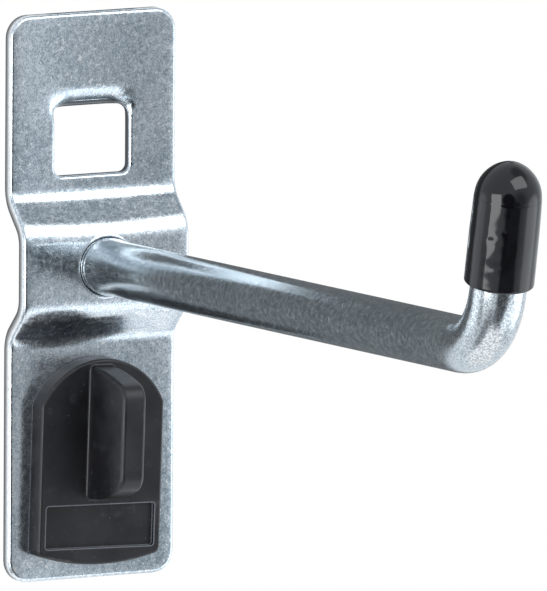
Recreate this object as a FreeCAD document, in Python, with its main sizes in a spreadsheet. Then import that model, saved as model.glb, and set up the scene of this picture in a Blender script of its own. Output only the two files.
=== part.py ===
import FreeCAD, Part

"""A tool hook for a square-perforated steel panel.

Four pieces: a joggled steel plate, a riveted round rod with an upturned end,
a soft cap on the rod's end, and a moulded clip that locks the plate to the panel.

Frame: X across the plate, +Y into the panel, +Z up. The origin is the point
where the rod's axis meets the plane of the plate's back face. Millimetres.
"""

import math
import os

import Sketcher

# Driving dimensions: alias, value, meaning.
SIZES = (
    ("plate_width", 20.0, "across the plate"),
    ("sheet_thickness", 1.5, "steel sheet"),
    ("plate_above", 27.2, "rod axis up to the plate's top edge"),
    ("plate_corner", 2.4, "radius of the plate's four corners"),
    ("joggle_depth", 3.4, "step forward of the middle section"),
    ("joggle_angle", 45.0, "slope of the two ramps, degrees"),
    ("middle_above", 3.6, "rod axis up to the middle section's end, on its back"),
    ("middle_below", 4.2, "rod axis down to the middle section's end, on its back"),
    ("bend_inside", 2.4, "inside radius of the ramp bends"),
    ("rim_roll", 0.75, "rounding of the plate's outer rim on the front"),
    ("edge_roll", 0.4, "rounding of the upper window's edges on the front"),
    ("window_width", 9.0, "square windows left by the lanced tongues"),
    ("window_bottom", 9.5, "rod axis up to the upper window's bottom edge"),
    ("window_height", 7.8, "upper window, bottom edge to the tongue's underside"),
    ("window_corner", 1.1, "radius of the window corners"),
    ("tongue_bend", 0.6, "inside radius of the tongue bends"),
    ("tongue_gap", 2.1, "space for the panel sheet behind the plate"),
    ("tongue_rise", 4.7, "straight rise of the tongue behind the panel"),
    ("tongue_width", 6.8, "upper tongue, between the window's rounded corners"),
    ("panel_hole", 10.0, "side of the panel's square holes"),
    ("panel_pitch", 38.0, "distance between the panel's holes"),
    ("panel_sheet", 1.2, "thickness of the panel's sheet"),
    ("tab_reach", 3.5, "how far the lower tab stands behind the plate"),
    ("plate_foot", 5.65, "lower tab's underside down to the plate's bottom edge"),
    ("rod_radius", 3.0, "round steel rod"),
    ("seat_radius", 3.15, "rod's shoulder, upset against the plate's front"),
    ("seat_taper", 4.0, "length over which the upset shoulder dies into the rod"),
    ("tenon_radius", 2.0, "rod's end, turned down to pass through the plate"),
    ("tenon_clearance", 0.05, "between the tenon and its hole"),
    ("rivet_radius", 2.6, "riveted head behind the plate"),
    ("rivet_height", 1.3, "riveted head behind the plate"),
    ("rivet_rim", 0.4, "straight rim of the riveted head"),
    ("rivet_crown", 1.4, "radius of the head's flat crown"),
    ("arm_reach", 93.0, "back plane out to the arm and upturn corner"),
    ("arm_tilt", 2.0, "rise of the arm, degrees"),
    ("arm_bend", 8.5, "centreline radius of the bend"),
    ("upturn_lean", 11.5, "outward lean of the upturn, degrees"),
    ("upturn_length", 17.7, "corner up to the rod's end"),
    ("rod_end_round", 0.8, "rounding of the rod's end"),
    ("cap_wall", 0.7, "wall of the end cap"),
    ("cap_clearance", 0.02, "between the rod and the cap's wall"),
    ("cap_space", 0.3, "between the rod's end and the cap's inner end"),
    ("cap_length", 13.5, "rim to the top of the dome"),
    ("cap_lip", 0.25, "rounding of the cap's rim"),
    ("clip_width", 14.7, "across the clip"),
    ("clip_thickness", 2.5, "body of the clip"),
    ("clip_above", 12.85, "peg axis up to the arch's top"),
    ("clip_below", 8.4, "peg axis down to the bottom corners"),
    ("clip_arch", 8.0, "radius of the arched top"),
    ("clip_belly", 24.0, "radius of the curved bottom edge"),
    ("clip_corner", 0.8, "radius of the clip's four corners"),
    ("clip_edge", 0.3, "rounding of the clip's front edge"),
    ("clip_turn", 1.6, "how far the clip sits askew in its play, degrees"),
    ("clip_shift", 0.14, "how far the clip sits to the left in its play"),
    ("fin_thickness", 2.8, "finger fin"),
    ("fin_shift", 0.3, "fin's middle to the left of the clip's"),
    ("fin_reach", 8.0, "fin's crest in front of the clip's face"),
    ("fin_below_arch", 0.7, "arch's top down to the fin's top"),
    ("fin_below", 2.3, "peg axis down to the fin's root"),
    ("fin_top_drop", 1.5, "fall of the fin's top edge from root to crest"),
    ("fin_bottom_drop", 2.3, "rise of the fin's bottom edge from root to crest"),
    ("fin_top_arc", 22.0, "radius of the fin's top edge"),
    ("fin_bottom_arc", 16.0, "radius of the fin's bottom edge"),
    ("fin_corner", 2.0, "radius of the fin's crest corners"),
    ("fin_edge", 0.45, "rounding of the fin's long edges"),
    ("fin_root", 0.3, "fillet where the fin meets the clip's face"),
    ("recess_height", 4.7, "shallow label recess"),
    ("recess_margin", 0.8, "clip's sides to the recess"),
    ("recess_above_corner", 0.7, "clip's bottom corners up to the recess"),
    ("recess_depth", 0.5, "shallow label recess"),
    ("recess_corner", 0.3, "radius of the recess corners"),
    ("peg_clearance", 0.3, "between the peg and the plate's lower window"),
    ("snap_arm", 1.5, "thickness of the peg's two springy arms"),
    ("snap_catch", 1.2, "how far each barb stands out"),
    ("snap_play", 0.1, "panel's back to the barbs"),
    ("snap_barb", 2.2, "length of the barbs"),
    ("snap_tip", 0.4, "how far the barb's tip is drawn in"),
)

# Places worked out from the driving dimensions.
PLACES = (
    ("plate_half", "Sizes.plate_width / 2"),
    ("plate_front", "Sizes.sheet_thickness"),
    ("ramp_run", "Sizes.joggle_depth / tan(Sizes.joggle_angle)"),
    ("ramp_shift", "Sizes.sheet_thickness * tan(Sizes.joggle_angle / 2)"),
    ("middle_front", "Sizes.joggle_depth + Sizes.sheet_thickness"),
    ("upper_back", "Sizes.middle_above + ramp_run"),
    ("lower_back", "Sizes.middle_below + ramp_run"),
    ("middle_above_front", "Sizes.middle_above + ramp_shift"),
    ("middle_below_front", "Sizes.middle_below + ramp_shift"),
    ("upper_front", "upper_back + ramp_shift"),
    ("lower_front", "lower_back + ramp_shift"),
    ("bend_outside", "Sizes.bend_inside + Sizes.sheet_thickness"),
    ("window_half", "Sizes.window_width / 2"),
    ("window_middle", "Sizes.window_bottom + Sizes.window_height / 2"),
    ("tongue_half", "Sizes.tongue_width / 2"),
    ("tongue_outside", "Sizes.tongue_bend + Sizes.sheet_thickness"),
    ("tongue_under", "Sizes.window_bottom + Sizes.window_height"),
    ("tongue_upper", "tongue_under + Sizes.sheet_thickness"),
    ("tongue_start", "tongue_under + tongue_outside"),
    ("tongue_tip", "tongue_start + Sizes.tongue_rise"),
    ("tongue_back", "Sizes.tongue_gap + Sizes.sheet_thickness"),
    ("tongue_turn", "Sizes.tongue_gap - Sizes.tongue_bend"),
    ("panel_play", "(Sizes.panel_hole - Sizes.window_height - Sizes.sheet_thickness) / 2"),
    ("upper_hole", "tongue_upper + panel_play - Sizes.panel_hole / 2"),
    ("lower_hole", "Sizes.panel_pitch - upper_hole"),
    ("tab_under", "lower_hole + Sizes.panel_hole / 2"),
    ("plate_below", "tab_under + Sizes.plate_foot"),
    ("tab_upper", "tab_under - Sizes.sheet_thickness"),
    ("tab_start", "tab_under + Sizes.tongue_bend"),
    ("lower_window_height", "Sizes.panel_hole - Sizes.sheet_thickness"),
    ("lower_window_top", "tab_upper - lower_window_height"),
    ("rod_hole", "Sizes.tenon_radius + Sizes.tenon_clearance"),
    ("seat_end", "middle_front + Sizes.seat_taper"),
    ("rivet_rim_y", "Sizes.joggle_depth - Sizes.rivet_rim"),
    ("rivet_top_y", "Sizes.joggle_depth - Sizes.rivet_height"),
    ("rod_start", "Sizes.rod_radius * tan(Sizes.arm_tilt)"),
    ("rod_start_y", "middle_front + rod_start"),
    ("rod_start_z", "rod_start * tan(Sizes.arm_tilt)"),
    ("arm_rise", "(Sizes.arm_reach - middle_front) * tan(Sizes.arm_tilt)"),
    ("bend_turn", "90 - Sizes.arm_tilt - Sizes.upturn_lean"),
    ("bend_tangent", "Sizes.arm_bend * tan(bend_turn / 2)"),
    ("arm_end_y", "Sizes.arm_reach - bend_tangent * cos(Sizes.arm_tilt)"),
    ("arm_end_z", "arm_rise - bend_tangent * sin(Sizes.arm_tilt)"),
    ("upturn_start_y", "Sizes.arm_reach + bend_tangent * sin(Sizes.upturn_lean)"),
    ("upturn_start_z", "arm_rise + bend_tangent * cos(Sizes.upturn_lean)"),
    ("upturn_end_y", "Sizes.arm_reach + Sizes.upturn_length * sin(Sizes.upturn_lean)"),
    ("upturn_end_z", "arm_rise + Sizes.upturn_length * cos(Sizes.upturn_lean)"),
    ("cap_inside", "Sizes.rod_radius + Sizes.cap_clearance"),
    ("cap_outside", "cap_inside + Sizes.cap_wall"),
    ("cap_barrel", "Sizes.cap_length - cap_outside"),
    ("cap_floor", "cap_barrel + Sizes.cap_wall"),
    ("cap_seat", "Sizes.upturn_length - cap_floor + Sizes.cap_space"),
    ("cap_y", "Sizes.arm_reach + cap_seat * sin(Sizes.upturn_lean)"),
    ("cap_z", "arm_rise + cap_seat * cos(Sizes.upturn_lean)"),
    ("clip_half", "Sizes.clip_width / 2"),
    ("arch_rise", "Sizes.clip_arch - sqrt(Sizes.clip_arch ^ 2 - clip_half ^ 2)"),
    ("arch_spring", "Sizes.clip_above - arch_rise"),
    ("peg_axis", "(tab_upper + lower_window_top) / 2"),
    ("fin_top", "Sizes.clip_above - Sizes.fin_below_arch"),
    ("fin_crest_top", "fin_top - Sizes.fin_top_drop"),
    ("fin_crest_bottom", "Sizes.fin_below - Sizes.fin_bottom_drop"),
    ("fin_crest", "Sizes.clip_thickness + Sizes.fin_reach"),
    ("fin_foot", "Sizes.clip_thickness / 2"),
    ("recess_half", "clip_half - Sizes.recess_margin"),
    ("recess_low", "Sizes.clip_below - Sizes.recess_above_corner"),
    ("recess_high", "recess_low - Sizes.recess_height"),
    ("peg_height", "lower_window_height - 2 * Sizes.peg_clearance"),
    ("peg_half", "window_half - Sizes.peg_clearance"),
    ("snap_inner", "peg_half - Sizes.snap_arm"),
    ("snap_face", "Sizes.sheet_thickness + Sizes.panel_sheet + Sizes.snap_play"),
    ("snap_end", "snap_face + Sizes.snap_barb"),
    ("snap_outer", "peg_half + Sizes.snap_catch"),
    ("snap_nose", "peg_half - Sizes.snap_tip"),
)

SIZE_NAMES = {name for name, _, _ in SIZES}
NEAR = 1e-4


def make_sheets(doc):
    """Writes the driving dimensions and the places that follow from them."""
    sizes = doc.addObject("Spreadsheet::Sheet", "Sizes")
    for row, (name, value, meaning) in enumerate(SIZES, start=1):
        sizes.set("A%d" % row, name)
        sizes.set("B%d" % row, str(value))
        sizes.set("C%d" % row, meaning)
        sizes.setAlias("B%d" % row, name)
    doc.recompute()
    places = doc.addObject("Spreadsheet::Sheet", "Places")
    for row, (name, formula) in enumerate(PLACES, start=1):
        places.set("A%d" % row, name)
        places.set("B%d" % row, "=" + formula)
        places.setAlias("B%d" % row, name)
    doc.recompute()


def cell(name):
    """The expression for a named size or place, which may have a minus sign."""
    sign = "-" if name.startswith("-") else ""
    plain = name.lstrip("-")
    return sign + ("Sizes." if plain in SIZE_NAMES else "Places.") + plain


def number(doc, name):
    """The present value of a named size or place, or zero."""
    if name == "zero":
        return 0.0
    plain = name.lstrip("-")
    sheet = doc.Sizes if plain in SIZE_NAMES else doc.Places
    value = float(sheet.get(plain))
    return -value if name.startswith("-") else value


def origin_feature(body, role):
    """One of the body's own origin planes or axes."""
    return next(item for item in body.Origin.OriginFeatures if item.Role == role)


def new_body(doc, label):
    """An empty body with its node name as label."""
    body = doc.addObject("PartDesign::Body", "Body_" + label)
    body.Label = label
    return body


def new_sketch(body, name, plane, offset=None):
    """A sketch on one of the body's origin planes, moved along its normal by a named place."""
    sketch = body.newObject("Sketcher::SketchObject", name)
    sketch.AttachmentSupport = (origin_feature(body, plane), [""])
    sketch.MapMode = "FlatFace"
    if offset:
        sketch.setExpression("AttachmentOffset.Base.z", cell(offset))
    return sketch


def bind(sketch, constraint, name):
    """Adds a constraint whose value follows a named size or place."""
    index = sketch.addConstraint(constraint)
    if name != "zero":
        sketch.setExpression("Constraints[%d]" % index, cell(name))


def arc_between(start, end, radius, turn):
    """The short arc from start to end; turn is 1 anticlockwise, -1 clockwise."""
    chord = end - start
    height = math.sqrt(max(radius ** 2 - (chord.Length / 2) ** 2, 0.0))
    side = FreeCAD.Vector(-chord.y, chord.x, 0).normalize() * turn
    centre = (start + end) / 2 + side * height
    first, last = (start, end) if turn > 0 else (end, start)
    angles = [math.atan2(point.y - centre.y, point.x - centre.x) for point in (first, last)]
    circle = Part.Circle(centre, FreeCAD.Vector(0, 0, 1), radius)
    return Part.ArcOfCircle(circle, angles[0], angles[1])


def draw(sketch, corners, arcs=None, closed=True):
    """Draws an outline through named corners.

    corners holds (x, y) pairs of names. arcs gives (radius name, turn) for each
    edge, by the number of its first corner, that is an arc and not a line.
    """
    doc = sketch.Document
    arcs = arcs or {}
    points = [FreeCAD.Vector(number(doc, x), number(doc, y), 0) for x, y in corners]
    count = len(points) if closed else len(points) - 1
    ends = []
    for index in range(count):
        start, end = points[index], points[(index + 1) % len(points)]
        if index in arcs:
            radius_name, turn = arcs[index]
            radius = number(doc, radius_name)
            edge = sketch.addGeometry(arc_between(start, end, radius, turn), False)
            ends.append((edge, 1, 2) if turn > 0 else (edge, 2, 1))
            bind(sketch, Sketcher.Constraint("Radius", edge, radius), radius_name)
        else:
            edge = sketch.addGeometry(Part.LineSegment(start, end), False)
            ends.append((edge, 1, 2))
    for index in range(count if closed else count - 1):
        edge, _, last = ends[index]
        following, first, _ = ends[(index + 1) % count]
        sketch.addConstraint(Sketcher.Constraint("Coincident", edge, last, following, first))
    for index, (x, y) in enumerate(corners):
        edge, first, last = ends[min(index, count - 1)]
        position = first if index < count else last
        for kind, name, value in (("DistanceX", x, points[index].x), ("DistanceY", y, points[index].y)):
            bind(sketch, Sketcher.Constraint(kind, edge, position, value), name)


def draw_circle(sketch, radius_name):
    """Draws a circle about the sketch's origin."""
    radius = number(sketch.Document, radius_name)
    circle = Part.Circle(FreeCAD.Vector(0, 0, 0), FreeCAD.Vector(0, 0, 1), radius)
    edge = sketch.addGeometry(circle, False)
    sketch.addConstraint(Sketcher.Constraint("Coincident", edge, 3, -1, 1))
    bind(sketch, Sketcher.Constraint("Radius", edge, radius), radius_name)


def symmetric(body, kind, name, sketch, length_name):
    """A pad or pocket that reaches half its length to each side of its sketch."""
    feature = body.newObject("PartDesign::" + kind, name)
    feature.Profile = sketch
    feature.SideType = "Symmetric"
    feature.setExpression("Length", cell(length_name))
    body.Document.recompute()
    return feature


def one_sided(body, kind, name, sketch, length_name, reverse):
    """A pad or pocket from its sketch, along its normal or against it."""
    feature = body.newObject("PartDesign::" + kind, name)
    feature.Profile = sketch
    feature.Reversed = reverse
    feature.setExpression("Length", cell(length_name))
    body.Document.recompute()
    return feature


def edges_where(feature, test):
    """Names of the feature's edges for which test(edge) holds."""
    edges = enumerate(feature.Shape.Edges, start=1)
    return ["Edge%d" % index for index, edge in edges if test(edge)]


def round_edges(body, name, edges, radius_name, kind="Fillet"):
    """Fillets or chamfers the named edges of the body's last feature."""
    base = body.Tip
    feature = body.newObject("PartDesign::" + kind, name)
    feature.Base = (base, edges)
    feature.setExpression("Radius" if kind == "Fillet" else "Size", cell(radius_name))
    body.Document.recompute()
    return feature


def at(value, target):
    """Whether two lengths are the same."""
    return abs(value - target) < NEAR


def spread(edge, axis):
    """Length of the edge's box along one axis."""
    box = edge.BoundBox
    return {"X": box.XLength, "Y": box.YLength, "Z": box.ZLength}[axis]


def straight_along(edge, axis):
    """Whether the edge is a line along one axis."""
    others = [name for name in "XYZ" if name != axis]
    return all(spread(edge, name) < NEAR for name in others)


def on_front(edge, value):
    """Whether the edge lies along the rim of the plate's front surface."""
    box = edge.BoundBox
    outside = at(abs(box.XMin), value("plate_half")) or at(abs(box.XMax), value("plate_half"))
    end = at(box.ZMin, value("plate_above")) or at(box.ZMin, -value("plate_below"))
    if straight_along(edge, "Y") or not (outside or end):
        return False
    middle = edge.valueAt((edge.FirstParameter + edge.LastParameter) / 2)
    flat = at(middle.y, -value("plate_front")) or at(middle.y, -value("middle_front"))
    return flat


def around_upper_window(edge, value):
    """Whether the edge lies on the front rim of the upper window."""
    box = edge.BoundBox
    on_face = at(box.YMin, -value("plate_front")) and at(box.YMax, -value("plate_front"))
    inside = max(abs(box.XMin), abs(box.XMax)) < value("window_half") + NEAR
    return on_face and inside and box.ZMin > value("upper_front")


def build_plate(doc):
    """The steel plate: a joggled strip with a rod hole, two windows, a hooked tongue and a tab."""
    body = new_body(doc, "hook_plate")
    value = lambda name: number(doc, name)

    profile = new_sketch(body, "StripProfile", "YZ_Plane")
    back = [
        ("zero", "plate_above"),
        ("zero", "upper_back"),
        ("-joggle_depth", "middle_above"),
        ("-joggle_depth", "-middle_below"),
        ("zero", "-lower_back"),
        ("zero", "-plate_below"),
    ]
    front = [
        ("-plate_front", "-plate_below"),
        ("-plate_front", "-lower_front"),
        ("-middle_front", "-middle_below_front"),
        ("-middle_front", "middle_above_front"),
        ("-plate_front", "upper_front"),
        ("-plate_front", "plate_above"),
    ]
    draw(profile, back + front)
    strip = symmetric(body, "Pad", "Strip", profile, "plate_width")

    def bend_edges(places):
        """Edges across the strip at the given (y, z) places."""
        return edges_where(body.Tip, lambda edge: straight_along(edge, "X") and any(
            at(edge.BoundBox.YMin, value(y)) and at(edge.BoundBox.ZMin, value(z)) for y, z in places))

    round_edges(body, "BendsOutside", bend_edges((back[1], back[4], front[2], front[3])), "bend_outside")
    round_edges(body, "BendsInside", bend_edges((back[2], back[3], front[1], front[4])), "bend_inside")

    corners = edges_where(body.Tip, lambda edge: straight_along(edge, "Y")
                          and at(abs(edge.BoundBox.XMin), value("plate_half")))
    round_edges(body, "PlateCorners", corners, "plate_corner")

    outer_rim = edges_where(body.Tip, lambda edge: on_front(edge, value))
    round_edges(body, "PlateRim", outer_rim, "rim_roll")

    for name, low, high in (
        ("UpperWindow", "window_bottom", "tongue_under"),
        ("LowerWindow", "-tab_start", "-lower_window_top"),
    ):
        window = new_sketch(body, name + "Outline", "XZ_Plane")
        draw(window, [
            ("-window_half", low),
            ("window_half", low),
            ("window_half", high),
            ("-window_half", high),
        ])
        symmetric(body, "Pocket", name, window, "plate_width")
        free_ends = (value(low), value(high)) if name == "UpperWindow" else (value(high),)
        corners = edges_where(body.Tip, lambda edge: straight_along(edge, "Y")
                              and at(abs(edge.BoundBox.XMin), value("window_half"))
                              and any(at(edge.BoundBox.ZMin, end) for end in free_ends))
        round_edges(body, name + "Corners", corners, "window_corner")
    window_rim = edges_where(body.Tip, lambda edge: around_upper_window(edge, value))
    round_edges(body, "UpperWindowRim", window_rim, "edge_roll")

    rod_hole = new_sketch(body, "RodHoleOutline", "XZ_Plane")
    draw_circle(rod_hole, "rod_hole")
    symmetric(body, "Pocket", "RodHole", rod_hole, "plate_width")

    slot = new_sketch(body, "TongueSlotOutline", "XZ_Plane")
    draw(slot, [
        ("-tongue_half", "window_middle"),
        ("tongue_half", "window_middle"),
        ("tongue_half", "tongue_start"),
        ("-tongue_half", "tongue_start"),
    ])
    symmetric(body, "Pocket", "TongueSlot", slot, "plate_width")
    tongue = new_sketch(body, "TongueProfile", "YZ_Plane")
    draw(tongue, [
        ("-plate_front", "tongue_start"),
        ("tongue_bend", "tongue_under"),
        ("tongue_turn", "tongue_under"),
        ("tongue_back", "tongue_start"),
        ("tongue_back", "tongue_tip"),
        ("tongue_gap", "tongue_tip"),
        ("tongue_gap", "tongue_start"),
        ("tongue_turn", "tongue_upper"),
        ("tongue_bend", "tongue_upper"),
        ("zero", "tongue_start"),
    ], arcs={
        0: ("tongue_outside", 1),
        2: ("tongue_outside", 1),
        6: ("tongue_bend", -1),
        8: ("tongue_bend", -1),
    })
    symmetric(body, "Pad", "Tongue", tongue, "tongue_width")

    tab = new_sketch(body, "TabProfile", "YZ_Plane")
    draw(tab, [
        ("zero", "-tab_start"),
        ("tongue_bend", "-tab_under"),
        ("tab_reach", "-tab_under"),
        ("tab_reach", "-tab_upper"),
        ("tongue_bend", "-tab_upper"),
        ("-plate_front", "-tab_start"),
    ], arcs={
        0: ("tongue_bend", -1),
        4: ("tongue_outside", 1),
    })
    symmetric(body, "Pad", "Tab", tab, "window_width")
    return body


def build_rod(doc):
    """The round rod: arm, bend and upturn in one sweep, riveted through the plate."""
    body = new_body(doc, "hook_rod")
    value = lambda name: number(doc, name)

    section = new_sketch(body, "RodSection", "XZ_Plane", "rod_start_y")
    section.AttachmentOffset = FreeCAD.Placement(
        FreeCAD.Vector(0, 0, 0), FreeCAD.Rotation(FreeCAD.Vector(-1, 0, 0), value("arm_tilt")))
    section.setExpression("AttachmentOffset.Base.y", cell("rod_start_z"))
    section.setExpression("AttachmentOffset.Base.z", cell("rod_start_y"))
    section.setExpression("AttachmentOffset.Rotation.Angle", cell("arm_tilt") + " * 1 deg")
    draw_circle(section, "rod_radius")
    path = new_sketch(body, "RodPath", "YZ_Plane")
    draw(path, [
        ("-rod_start_y", "rod_start_z"),
        ("-arm_end_y", "arm_end_z"),
        ("-upturn_start_y", "upturn_start_z"),
        ("-upturn_end_y", "upturn_end_z"),
    ], arcs={1: ("arm_bend", -1)}, closed=False)
    doc.recompute()
    rod = body.newObject("PartDesign::AdditivePipe", "Rod")
    rod.Profile = section
    rod.Spine = (path, ["Edge1", "Edge2", "Edge3"])
    doc.recompute()

    end = edges_where(rod, lambda edge: edge.BoundBox.ZMin > value("upturn_start_z")
                      and edge.isClosed())
    round_edges(body, "RodEnd", end, "rod_end_round")

    head = new_sketch(body, "RivetProfile", "YZ_Plane")
    draw(head, [
        ("-seat_end", "zero"),
        ("-seat_end", "tenon_radius"),
        ("-middle_front", "seat_radius"),
        ("-middle_front", "tenon_radius"),
        ("-joggle_depth", "tenon_radius"),
        ("-joggle_depth", "rivet_radius"),
        ("-rivet_rim_y", "rivet_radius"),
        ("-rivet_top_y", "rivet_crown"),
        ("-rivet_top_y", "zero"),
    ])
    rivet = body.newObject("PartDesign::Revolution", "Rivet")
    rivet.Profile = head
    rivet.ReferenceAxis = (origin_feature(body, "Y_Axis"), [""])
    rivet.Angle = 360
    doc.recompute()
    return body


def build_cap(doc):
    """The soft end cap: a thin sleeve with a domed end, turned about its own axis."""
    body = new_body(doc, "end_cap")
    value = lambda name: number(doc, name)
    profile = new_sketch(body, "CapProfile", "XZ_Plane")
    draw(profile, [
        ("cap_inside", "zero"),
        ("cap_outside", "zero"),
        ("cap_outside", "cap_barrel"),
        ("zero", "cap_length"),
        ("zero", "cap_floor"),
        ("cap_inside", "cap_floor"),
    ], arcs={2: ("cap_outside", 1)})
    sleeve = body.newObject("PartDesign::Revolution", "Sleeve")
    sleeve.Profile = profile
    sleeve.ReferenceAxis = (origin_feature(body, "Z_Axis"), [""])
    sleeve.Angle = 360
    doc.recompute()
    rim = edges_where(sleeve, lambda edge: at(edge.BoundBox.ZMax, 0)
                      and at(edge.BoundBox.XLength, 2 * value("cap_outside")))
    round_edges(body, "CapLip", rim, "cap_lip")
    body.Placement = FreeCAD.Placement(
        FreeCAD.Vector(0, 0, 0), FreeCAD.Rotation(FreeCAD.Vector(1, 0, 0), value("upturn_lean")))
    body.setExpression("Placement.Base.y", cell("-cap_y"))
    body.setExpression("Placement.Base.z", cell("cap_z"))
    body.setExpression("Placement.Rotation.Angle", cell("upturn_lean") + " * 1 deg")
    doc.recompute()
    return body


def build_clip(doc):
    """The moulded clip: an arched body with a finger fin, a label recess and a split snap peg.

    Its own origin is the peg's axis on the plate's front face.
    """
    body = new_body(doc, "locking_clip")
    value = lambda name: number(doc, name)

    outline = new_sketch(body, "ClipOutline", "XZ_Plane")
    draw(outline, [
        ("-clip_half", "-clip_below"),
        ("clip_half", "-clip_below"),
        ("clip_half", "arch_spring"),
        ("-clip_half", "arch_spring"),
    ], arcs={0: ("clip_belly", 1), 2: ("clip_arch", 1)})
    shell = one_sided(body, "Pad", "ClipBody", outline, "clip_thickness", False)
    round_edges(body, "ClipCorners", edges_where(shell, lambda edge: straight_along(edge, "Y")), "clip_corner")
    face = -value("clip_thickness")
    rim = edges_where(body.Tip, lambda edge: at(edge.BoundBox.YMin, face) and at(edge.BoundBox.YMax, face))
    round_edges(body, "ClipEdge", rim, "clip_edge")

    profile = new_sketch(body, "FinProfile", "YZ_Plane", "-fin_shift")
    draw(profile, [
        ("-fin_foot", "fin_top"),
        ("-clip_thickness", "fin_top"),
        ("-fin_crest", "fin_crest_top"),
        ("-fin_crest", "-fin_crest_bottom"),
        ("-clip_thickness", "-fin_below"),
        ("-fin_foot", "-fin_below"),
    ], arcs={1: ("fin_top_arc", 1), 3: ("fin_bottom_arc", 1)})
    fin = symmetric(body, "Pad", "Fin", profile, "fin_thickness")
    crest = edges_where(fin, lambda edge: straight_along(edge, "X")
                        and at(edge.BoundBox.YMin, -value("fin_crest")))
    round_edges(body, "FinCorners", crest, "fin_corner")

    def on_fin_side(edge):
        """Whether the edge lies on one of the fin's two flat sides."""
        side = abs(edge.BoundBox.XMin + value("fin_shift"))
        return at(side, value("fin_thickness") / 2) and edge.BoundBox.XLength < NEAR

    long_edges = edges_where(body.Tip, lambda edge: on_fin_side(edge) and edge.BoundBox.YMin < face - NEAR)
    round_edges(body, "FinEdges", long_edges, "fin_edge")
    root = edges_where(body.Tip, lambda edge: on_fin_side(edge) and at(edge.BoundBox.YMin, face)
                       and at(edge.BoundBox.YMax, face))
    round_edges(body, "FinRoot", root, "fin_root")

    recess = new_sketch(body, "RecessOutline", "XZ_Plane", "clip_thickness")
    draw(recess, [
        ("-recess_half", "-recess_low"),
        ("recess_half", "-recess_low"),
        ("recess_half", "-recess_high"),
        ("-recess_half", "-recess_high"),
    ])
    pocket = one_sided(body, "Pocket", "Recess", recess, "recess_depth", False)
    upright = edges_where(pocket, lambda edge: straight_along(edge, "Y")
                          and at(abs(edge.BoundBox.XMin), value("recess_half")))
    round_edges(body, "RecessCorners", upright, "recess_corner")

    arm = new_sketch(body, "SnapArmProfile", "XY_Plane")
    draw(arm, [
        ("snap_inner", "zero"),
        ("peg_half", "zero"),
        ("peg_half", "snap_face"),
        ("snap_outer", "snap_face"),
        ("snap_nose", "snap_end"),
        ("snap_inner", "snap_end"),
    ])
    snap = symmetric(body, "Pad", "SnapArm", arm, "peg_height")
    pair = body.newObject("PartDesign::Mirrored", "SnapArms")
    pair.Originals = [snap]
    pair.MirrorPlane = (origin_feature(body, "YZ_Plane"), [""])
    doc.recompute()
    body.Tip = pair
    outer = edges_where(pair, lambda edge: straight_along(edge, "Y")
                        and at(abs(edge.BoundBox.XMin), value("peg_half")))
    round_edges(body, "SnapArmEdges", outer, "window_corner")

    body.Placement = FreeCAD.Placement(
        FreeCAD.Vector(0, 0, 0), FreeCAD.Rotation(FreeCAD.Vector(0, 1, 0), value("clip_turn")))
    body.setExpression("Placement.Base.x", cell("-clip_shift"))
    body.setExpression("Placement.Base.y", cell("-plate_front"))
    body.setExpression("Placement.Base.z", cell("-peg_axis"))
    body.setExpression("Placement.Rotation.Angle", cell("clip_turn") + " * 1 deg")
    doc.recompute()
    return body


def check(doc, bodies):
    """Stops if any object failed, or a piece isn't one valid solid."""
    for item in doc.Objects:
        if "Invalid" in item.State or "Error" in item.State:
            raise RuntimeError("%s failed: %s" % (item.Name, item.State))
    for body in bodies:
        shape = body.Shape
        if shape.isNull() or not shape.isValid() or len(shape.Solids) != 1:
            raise RuntimeError("%s is not one valid solid" % body.Label)
        print("%s: volume %.1f mm3" % (body.Label, shape.Volume))


def main():
    """Builds the four pieces and writes one STEP file for each."""
    doc = FreeCAD.newDocument("PanelHook")
    make_sheets(doc)
    bodies = [build_plate(doc), build_rod(doc), build_cap(doc), build_clip(doc)]
    doc.recompute()
    check(doc, bodies)
    os.makedirs("parts", exist_ok=True)
    for body in bodies:
        body.Shape.exportStep(os.path.join("parts", body.Label + ".step"))


main()
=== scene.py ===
"""Dresses the square-panel tool hook and sets up its studio, light and camera.

Everything is in metres, in the frame of the solid model: X across the plate,
+Y into the panel, +Z up, with the origin on the rod's axis at the back plane.
"""

import logging
import math
from dataclasses import dataclass
from enum import Enum

import bmesh
import bpy
from mathutils import Matrix, Vector, noise


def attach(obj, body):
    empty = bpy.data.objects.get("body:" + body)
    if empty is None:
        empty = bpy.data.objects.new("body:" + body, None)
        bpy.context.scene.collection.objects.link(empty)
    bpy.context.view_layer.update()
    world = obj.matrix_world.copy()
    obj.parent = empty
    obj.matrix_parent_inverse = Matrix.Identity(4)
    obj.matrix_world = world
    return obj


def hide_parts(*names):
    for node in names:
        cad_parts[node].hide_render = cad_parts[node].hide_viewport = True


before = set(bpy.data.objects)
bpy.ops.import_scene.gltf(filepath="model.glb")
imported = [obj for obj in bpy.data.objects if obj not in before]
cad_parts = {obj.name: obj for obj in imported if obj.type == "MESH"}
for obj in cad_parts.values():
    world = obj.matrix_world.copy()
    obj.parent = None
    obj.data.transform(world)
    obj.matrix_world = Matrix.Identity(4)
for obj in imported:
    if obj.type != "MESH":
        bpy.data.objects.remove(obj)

LOG = logging.getLogger("panel_hook")
MM = 0.001
ROOT = "root"
IMAGE_WIDTH = 547
IMAGE_HEIGHT = 591
SENSOR = 36.0
CRISP_ANGLE = 50.0
CLOSE = 1e-4
LAMP_AIM = (0.0, -0.04, 0.0)

# Names of the mesh layers: painted shade on the plate, and the rod's stretched skin.
PAINTED_SHADE = "painted_shade"
STRETCHED = "stretched"

Colour = tuple[float, float, float]
Span = tuple[float, float]
Socket = bpy.types.NodeSocket
Material = bpy.types.Material
Item = bpy.types.Object
Form = bmesh.types.BMesh


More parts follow.
